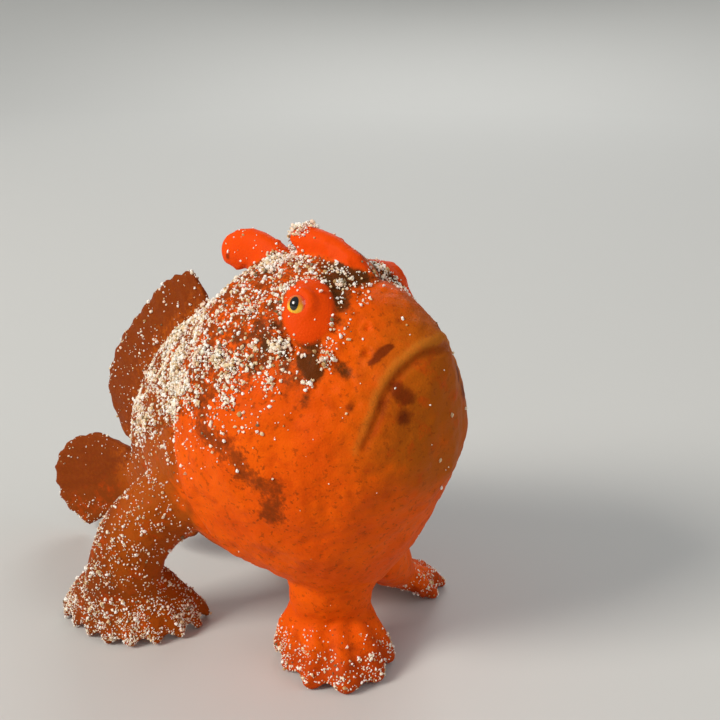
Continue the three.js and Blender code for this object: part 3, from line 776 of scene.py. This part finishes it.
for shade, most, where, pattern, fray, start, full in LAYERS:
    value = node(tree, "ShaderNodeMath", {"operation": "MULTIPLY_ADD", 1: fray, 2: -0.5 * fray}, i0=pattern)
    if where:
        kept = node(tree, "ShaderNodeAttribute", {"attribute_name": where}, outlet="Fac")
        inside = node(tree, "ShaderNodeMath", {"operation": "GREATER_THAN", 1: 0.02}, i0=kept)
        value = node(tree, "ShaderNodeMath", {"operation": "ADD"}, i0=value, i1=kept)
        value = node(tree, "ShaderNodeMath", {"operation": "MULTIPLY"}, i0=value, i1=inside)
    fade = {"interpolation_type": "SMOOTHSTEP", "From Min": start, "From Max": full, "To Max": most}
    share = node(tree, "ShaderNodeMapRange", fade, Value=value)
    colour = node(tree, "ShaderNodeMix", {"data_type": "RGBA", 7: linear(shade)}, i0=share, i6=colour)
GRAIN_HEIGHT = 0.25 / 1000  # metres
height = node(tree, "ShaderNodeMath", {"operation": "MULTIPLY_ADD", 1: 0.5}, i0=grain, i2=medium)
bump = node(tree, "ShaderNodeBump", {"Strength": 0.4, "Distance": GRAIN_HEIGHT}, Height=height)
shader = node(
    tree,
    "ShaderNodeBsdfPrincipled",
    {
        "Roughness": 0.55,
        "Specular IOR Level": 0.06,
        "Subsurface Weight": 0.06,
        "Subsurface Radius": (1.0, 0.4, 0.1),
        "Subsurface Scale": 0.0008,
    },
    Base_Color=colour,
    Normal=bump,
)
node(tree, "ShaderNodeOutputMaterial", Surface=shader)
skin.data.materials.append(skin_material)

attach(skin, "root")
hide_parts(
    "head",
    "torso",
    "tail_stem",
    "dorsal_spine_2",
    "dorsal_spine_3",
    "dorsal_fin",
    "caudal_fin",
    "anal_fin",
    "arm_right",
    "hand_right",
    "arm_left",
    "hand_left",
    "leg_right",
    "leg_left",
)


# The eyes: small balls under a clear cornea, set in fleshy turrets. A black, upright pupil sits in a
# gold iris that is brightest below, a pool of painted light where the cornea gathers it, and the rest
# of the ball is the skin's own orange.
def eyeball(name, centre, way):
    """A ball of rings about the line of sight, bulged by 6% at the cornea, that keeps for each point
    how far it lies from the middles of iris and pupil, and how low."""
    way = way / np.linalg.norm(way)
    side, top = square_to(way)
    polar = np.linspace(0, np.pi, 66)[1:-1]
    turn = np.linspace(0, 2 * np.pi, 72, endpoint=False)
    out = np.cos(turn)[None, :, None] * side + np.sin(turn)[None, :, None] * top
    bulge = 1 + 0.06 * np.exp(-((polar / 0.6) ** 2))
    rings = centre + EYE_RADIUS * bulge[:, None, None] * (
        np.cos(polar)[:, None, None] * way + np.sin(polar)[:, None, None] * out
    )
    points, faces = joined([closed_tube(rings)])
    ball = add_object(name, to_mesh(name, points, faces))
    offset = (points - centre) / EYE_RADIUS
    across, height, ahead = offset @ side, offset @ top, offset @ way

    def oval(half_width, half_height, up=0.0):
        """1 on the edge of an oval on the front of the ball, less inside it, and 9 on the back."""
        return np.where(ahead > 0, np.hypot(across / half_width, (height - up) / half_height), 9)

    keep_amount(ball.data, "ring", oval(0.66, 0.78, up=-0.12) / 2)
    keep_amount(ball.data, "pupil", oval(0.37, 0.54) / 4)
    # how low on the ball, for the painted light on the lower iris
    keep_amount(ball.data, "low", 0.5 - height * 0.6)
    ball.data.polygons.foreach_set("use_smooth", np.ones(len(ball.data.polygons), bool))
    return ball


# A wet eye under a clear cornea: very smooth, with the coat that gives its bright point
eye_material, tree = blank_material("wet_eye")
place = node(tree, "ShaderNodeTexCoord", outlet="Object")
streaks = node(tree, "ShaderNodeTexNoise", {"Scale": per_metre(0.5263), "Detail": 3.0}, Vector=place)
EYE_LAYERS = [  # colour, most of it, kept amount or pattern, from, to
    # painted light: the gold brightest on the lower iris
    ("#FFC410", 1.0, "low", 0.35, 0.75),
    ("#B04E06", 0.5, streaks, 0.52, 0.75),
    ("#EE4604", 1.0, "ring", 0.44, 0.56),
    ("#040303", 1.0, "pupil", 0.27, 0.23),
]
colour = node(tree, "ShaderNodeRGB")
colour.default_value = linear("#E07006")
for shade, most, where, start, full in EYE_LAYERS:
    if isinstance(where, str):
        where = node(tree, "ShaderNodeAttribute", {"attribute_name": where}, outlet="Fac")
    fade = {"interpolation_type": "SMOOTHSTEP", "From Min": start, "From Max": full, "To Max": most}
    share = node(tree, "ShaderNodeMapRange", fade, Value=where)
    colour = node(tree, "ShaderNodeMix", {"data_type": "RGBA", 7: linear(shade)}, i0=share, i6=colour)
wet = {"Roughness": 0.18, "Coat Weight": 1.0, "Coat Roughness": 0.02, "Coat IOR": 1.38}
shader = node(tree, "ShaderNodeBsdfPrincipled", wet, Base_Color=colour)
node(tree, "ShaderNodeOutputMaterial", Surface=shader)
for name, (centre, way) in EYES.items():
    ball = eyeball(name + "_ball", centre, way)
    ball.data.materials.append(eye_material)
    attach(ball, "root")
    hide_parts(name)


# The lure: a thin naked rod laid back on the left of the second spine, with a small bait of frayed
# skin at its end, as the fish carries it when it isn't fishing.
ROD = [
    ((15, 2, 85), 0.8, 0.8, (0, 1, 0)),
    ((12, 3.2, 92), 0.7, 0.7, (0, 1, 0)),
    ((5, 4.4, 96.2), 0.55, 0.55, (0, 1, 0)),
    ((-3, 4.4, 97.4), 0.45, 0.45, (0, 1, 0)),
    ((-9, 3.8, 97.4), 0.4, 0.4, (0, 1, 0)),
]
BAIT = np.array([-10.4, 3.5, 97.3])
THREADS = 9
THREAD_TURN = 2.4  # radians from one thread of the bait to the next
SAG = np.array([0, 0, -0.35])
lure_parts = [limb(ROD, 50, 12)]
draw = np.random.default_rng(7)
for k in range(THREADS):
    turn = THREAD_TURN * k
    out = np.array([-0.7 - 0.5 * draw.random(), np.cos(turn) * 0.8, np.sin(turn) * 0.8])
    out *= draw.uniform(1.0, 1.7)
    thread = [
        (BAIT - out * 0.2, 0.42, 0.42, (0, 1, 0.1)),
        (BAIT + out * 0.6 + SAG * 0.2, 0.34, 0.3, (0, 1, 0.1)),
        (BAIT + out * 1.2 + SAG, 0.12, 0.1, (0, 1, 0.1)),
    ]
    lure_parts.append(limb(thread, 12, 8))
lure = add_object("lure_and_bait", to_mesh("lure_and_bait", *joined(lure_parts)))
lure.data.polygons.foreach_set("use_smooth", np.ones(len(lure.data.polygons), bool))
# Bare spine skin: thin, the colour of the crown it lies on, and a little translucent
lure_material, tree = blank_material("thin_lure_skin")
place = node(tree, "ShaderNodeTexCoord", outlet="Object")
bands = node(tree, "ShaderNodeTexNoise", {"Scale": per_metre(2.5), "Detail": 3.0}, Vector=place)
fade = {"interpolation_type": "SMOOTHSTEP", "From Min": 0.4, "From Max": 0.65}
share = node(tree, "ShaderNodeMapRange", fade, Value=bands)
ends = {"data_type": "RGBA", 6: linear("#D0601C"), 7: linear("#8A3C10")}
colour = node(tree, "ShaderNodeMix", ends, i0=share)
thin = {"Roughness": 0.5, "Subsurface Weight": 0.15, "Subsurface Scale": 0.0006}
shader = node(tree, "ShaderNodeBsdfPrincipled", thin, Base_Color=colour)
node(tree, "ShaderNodeOutputMaterial", Surface=shader)
lure.data.materials.append(lure_material)
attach(lure, "root")
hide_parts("lure")


# Sand on the skin: grains of pale shell and quartz that stick to the loose skin of the back, crown,
# arms and feet, a few on the fins, and in heaps here and there, one on the second spine's tip. The
# turrets, the rest of the spine lobes, the front of the face and the throat are nearly clean.
wrapped.calc_loop_triangles()
triangles = np.empty(len(wrapped.loop_triangles) * 3, np.int32)
wrapped.loop_triangles.foreach_get("vertices", triangles)
corners = skin_points[triangles.reshape(-1, 3)]
middles = corners.mean(axis=1)
cross = np.cross(corners[:, 1] - corners[:, 0], corners[:, 2] - corners[:, 0])
area = np.linalg.norm(cross, axis=1) / 2
facing = cross / (2 * area[:, None] + 1e-12)
x, y, z = middles.T
off_trunk = depth(middles)
density = 0.006 + 0.55 * ramp(z - 0.55 * x, 69, 76) * ramp(x, 19, 10)  # crown and nape
density += 0.16 * ramp(z - 0.5 * x, 56, 66) * ramp(x, 14, 5)  # upper cheeks
density += 0.2 * ramp(x, -14, -22) * ramp(z, 40, 52)  # back
density *= np.where((off_trunk > 2) & (x < -34), 0.12, 1)  # little of it on the fins
density += 1.0 * ramp(z, 12, 4)  # hands and feet
density += 0.7 * (np.abs(y) > 17) * ramp(z, 46, 36) * ramp(x, -20, -26)  # arms
density += 1.2 * near(middles, (-41, 0, 87), (6, 4, 5))  # the dorsal fin's first rays
clump = 0.75 + 0.35 * waves(middles, size=9, seed=21) + 0.35 * waves(middles, size=3.5, seed=22)
clump = np.clip(clump, 0.1, 2.0)
HEAPS = [  # place, radius, strength: where the sand lies thick
    ((-21, -25, 69), 4.5, 5.0),
    ((-20, -26, 64), 3.5, 4.0),
    ((-24, -22, 74), 5.0, 4.0),
    ((-15.0, -25.5, 70.0), 3.0, 2.5),
    ((-33, -13, 74), 5.0, 3.5),
    ((-6, -24.5, 78.5), 3.2, 3.5),
    ((-2, -25, 77), 2.4, 3.0),
    ((-11, -24.2, 77.4), 3.2, 2.5),
    ((-3, -18.4, 87), 1.6, 4.0),
    ((2.1, -14.3, 91.7), 1.4, 4.0),
    ((6.9, -20.4, 82.0), 2.2, 3.5),
    ((15.5, -16.4, 80.4), 2.0, 4.0),
    ((14.1, -20.3, 75.8), 1.4, 2.5),
    ((7.2, -23.7, 75.9), 1.2, 4.0),
    ((-1, -27.6, 70.5), 2.2, 2.0),
    ((10.6, -6.9, 92.6), 1.3, 4.0),
    ((-7, -8.7, 93.0), 2.0, 3.0),
    ((-11, -3, 92.5), 3.6, 4.5),
    ((-6, -5, 94), 3.0, 3.0),
    ((-8.2, 0, 99.5), 2.4, 6.0),
    ((-4.5, -1, 100.5), 2.2, 4.0),
]
heap = patches(middles, HEAPS, 1.15)
on_lobes = (off_trunk > 1.0) & (z > 86) & (x > -34)
density = np.where(on_lobes, 0.03, density * clump) + heap
turret = np.minimum(turret_edge(middles, -1), turret_edge(middles, 1))
density *= np.clip(turret * 4 - 3.2, 0.05, 1)
density *= np.clip(facing[:, 2] * 0.8 + 0.8, 0.05, 1) * (z > 0.8)
weight = area * density
coarse_share = np.clip((z - 30) / 30, 0.25, 1)
draw = np.random.default_rng(17)
golden = (1 + 5**0.5) / 2
PEBBLE = np.array(  # an icosahedron for the coarse grains
    [(-1, golden, 0), (1, golden, 0), (-1, -golden, 0), (1, -golden, 0)]
    + [(0, -1, golden), (0, 1, golden), (0, -1, -golden), (0, 1, -golden)]
    + [(golden, 0, -1), (golden, 0, 1), (-golden, 0, -1), (-golden, 0, 1)]
) / np.hypot(1, golden)
PEBBLE_FACES = np.array(
    [(0, 11, 5), (0, 5, 1), (0, 1, 7), (0, 7, 10), (0, 10, 11), (1, 5, 9), (5, 11, 4), (11, 10, 2)]
    + [(10, 7, 6), (7, 1, 8), (3, 9, 4), (3, 4, 2), (3, 2, 6), (3, 6, 8), (3, 8, 9), (4, 9, 5)]
    + [(2, 4, 11), (6, 2, 10), (8, 6, 7), (9, 8, 1)]
)
# An octahedron for the fine ones
CHIP = np.array([(1, 0, 0), (-1, 0, 0), (0, 1, 0), (0, -1, 0), (0, 0, 1), (0, 0, -1)], float)
CHIP_FACES = np.array(
    [(0, 2, 4), (2, 1, 4), (1, 3, 4), (3, 0, 4)]
    + [(2, 0, 5), (1, 2, 5), (3, 1, 5), (0, 3, 5)]
)


def grains(name, count, likely, smallest, largest, form, form_faces):
    """Seeded grains set on the skin, with radii in mm: each is the form turned at random, its corners
    moved in or out by up to 30%, sunk so that two thirds of it stand out, and stacked up in the heaps."""
    chosen = draw.choice(len(corners), count, p=likely / likely.sum())
    share = draw.dirichlet((1, 1, 1), count)
    seat = (corners[chosen] * share[..., None]).sum(axis=1)
    turn = np.linalg.qr(draw.normal(size=(count, 3, 3)))[0]
    turn *= np.sign(np.linalg.det(turn))[:, None, None]
    size = smallest + (largest - smallest) * draw.beta(1.3, 2.6, count)
    corner = len(form)
    shape = form[None] * draw.uniform(0.7, 1.3, (count, corner, 1)) * draw.uniform(0.7, 1.25, (count, 1, 3))
    stacked = draw.random(count) * np.minimum(heap[chosen], 3) * 0.35
    lift = facing[chosen] * (0.35 * size + stacked)[:, None]
    points = (seat + lift)[:, None] + size[:, None, None] * np.einsum("gij,gkj->gki", turn, shape)
    points[..., 2] = np.maximum(points[..., 2], SOLE)
    faces = (form_faces[None] + corner * np.arange(count)[:, None, None]).reshape(-1, 3)
    made = add_object(name, to_mesh(name, points.reshape(-1, 3), faces.tolist()))
    keep_amount(made.data, "tone", np.repeat(draw.random(count), corner))
    return made


few = 1.0  # the share of all grains that is drawn
sand_pieces = [
    grains("coarse_sand_on_skin", int(8500 * few), weight * coarse_share, 0.2, 0.58, PEBBLE, PEBBLE_FACES),
    grains("fine_sand_on_skin", int(24000 * few), weight, 0.13, 0.32, CHIP, CHIP_FACES),
]
# Coral and quartz sand: dry matt grains, mostly white and cream, some tan, pink or grey
sand_material, tree = blank_material("shell_sand")
tone = node(tree, "ShaderNodeAttribute", {"attribute_name": "tone"}, outlet="Fac")
shades = node(tree, "ShaderNodeValToRGB", outlet="Color", Fac=tone)
SAND_SHADES = [  # from this tone on, this colour
    (0.0, "#FFFBF2"),
    (0.36, "#F6EAD2"),
    (0.6, "#EACFA4"),
    (0.76, "#F8DCC4"),
    (0.88, "#C8A068"),
    (0.95, "#86704E"),
]
shades.node.color_ramp.interpolation = "CONSTANT"
for index, (position, shade) in enumerate(SAND_SHADES):
    stops = shades.node.color_ramp.elements
    stop = stops[index] if index < 2 else stops.new(position)
    stop.position = position
    stop.color = linear(shade)
matt = {"Roughness": 0.5, "Specular IOR Level": 0.4}
shader = node(tree, "ShaderNodeBsdfPrincipled", matt, Base_Color=shades)
node(tree, "ShaderNodeOutputMaterial", Surface=shader)
for piece in sand_pieces:
    piece.data.materials.append(sand_material)
    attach(piece, "root")


# The stage: a plain pale paper floor, flat under the fish and swept up far behind it, a large soft
# lamp high on the camera's left, where the photo's light came from, and weak ones right and behind.
FLAT, SWEPT = 1.6, 2.0  # metres: radius of the flat part, and of the curve that lifts the paper's edge
AROUND, ACROSS_FLAT, UP_SWEEP = 96, 12, 24  # points round the paper, and rings on flat and curve
sweep = np.linspace(0.04, np.pi / 2, UP_SWEEP)
radius = np.concatenate([np.linspace(0.1, FLAT, ACROSS_FLAT), FLAT + SWEPT * np.sin(sweep)])[:, None]
rise = np.concatenate([np.zeros(ACROSS_FLAT), SWEPT - SWEPT * np.cos(sweep)])[:, None]
turn = np.linspace(0, 2 * np.pi, AROUND, endpoint=False)
rings = np.stack([radius * np.cos(turn), radius * np.sin(turn), rise + 0 * turn], axis=-1)
floor_points = np.vstack([rings.reshape(-1, 3), [0, 0, 0]])
j = np.arange(AROUND)
middle = np.stack([np.full(AROUND, len(floor_points) - 1), j, (j + 1) % AROUND], axis=-1)
floor_faces = between_rings(len(radius), AROUND).tolist() + middle.tolist()
floor_mesh = bpy.data.meshes.new("floor")
floor_mesh.from_pydata(floor_points.tolist(), [], floor_faces)
floor_mesh.polygons.foreach_set("use_smooth", np.ones(len(floor_mesh.polygons), bool))
floor = add_object("floor", floor_mesh)
floor_material, tree = blank_material("pale_paper")
shader = node(tree, "ShaderNodeBsdfPrincipled", {"Base Color": linear("#CFCFCB"), "Roughness": 0.85})
node(tree, "ShaderNodeOutputMaterial", Surface=shader)
floor_mesh.materials.append(floor_material)

TURN, TILT = np.radians(50), np.radians(19)  # the camera stands to the fish's right and looks down
back_way = np.array([np.cos(TURN) * np.cos(TILT), -np.sin(TURN) * np.cos(TILT), np.sin(TILT)])
right_way = np.array([np.sin(TURN), np.cos(TURN), 0.0])
up_way = np.cross(back_way, right_way)
PICTURE, FOCAL = 720, 950.0  # the picture's side and the lens, in pixels
AIM, AIM_PIXEL, AWAY = np.array([0, 0, 63.0]), (325, 400), 210.0  # where that place shows, and how far off
off_axis = np.array([AIM_PIXEL[0] - PICTURE / 2, PICTURE / 2 - AIM_PIXEL[1]]) / FOCAL
camera_point = AIM + AWAY * (back_way - off_axis[0] * right_way - off_axis[1] * up_way)
camera_data = bpy.data.cameras.new("camera")
camera_data.sensor_width = 36
camera_data.lens = FOCAL / PICTURE * camera_data.sensor_width
camera_data.clip_start = 0.01
camera = add_object("camera", camera_data)
axes = np.column_stack([right_way, up_way, back_way, (camera_point + SET_DOWN) / 1000])
camera.matrix_world = Matrix(np.vstack([axes, [0, 0, 0, 1]]).tolist())
bpy.context.scene.camera = camera


def lamp(name, offset, size, power, tint):
    """A square soft lamp that looks at the fish, set off from it by metres to the camera's right, up
    and back."""
    data = bpy.data.lights.new(name, "AREA")
    data.shape = "SQUARE"
    data.size = size
    data.energy = power
    data.color = linear(tint)[:3]
    made = add_object(name, data)
    target = Vector((AIM + SET_DOWN) / 1000)
    position = target + Vector(right_way * offset[0] + up_way * offset[1] + back_way * offset[2])
    made.location = position
    made.rotation_euler = (target - position).to_track_quat("-Z", "Y").to_euler()


lamp("key_lamp", (-1.5, 0.8, 1.15), 0.7, 36.0, "#FFF9F2")
lamp("fill_lamp", (1.7, 0.9, 1.2), 1.3, 7.0, "#F8FAFF")
lamp("back_lamp", (0.2, 1.8, -1.5), 1.2, 14.0, "#FFFFFF")
bpy.context.scene.view_settings.view_transform = "Standard"
world = bpy.data.worlds.new("studio")
world.use_nodes = True
background = world.node_tree.nodes["Background"]
background.inputs["Color"].default_value = linear("#E6E9EC")
background.inputs["Strength"].default_value = 0.42
bpy.context.scene.world = world
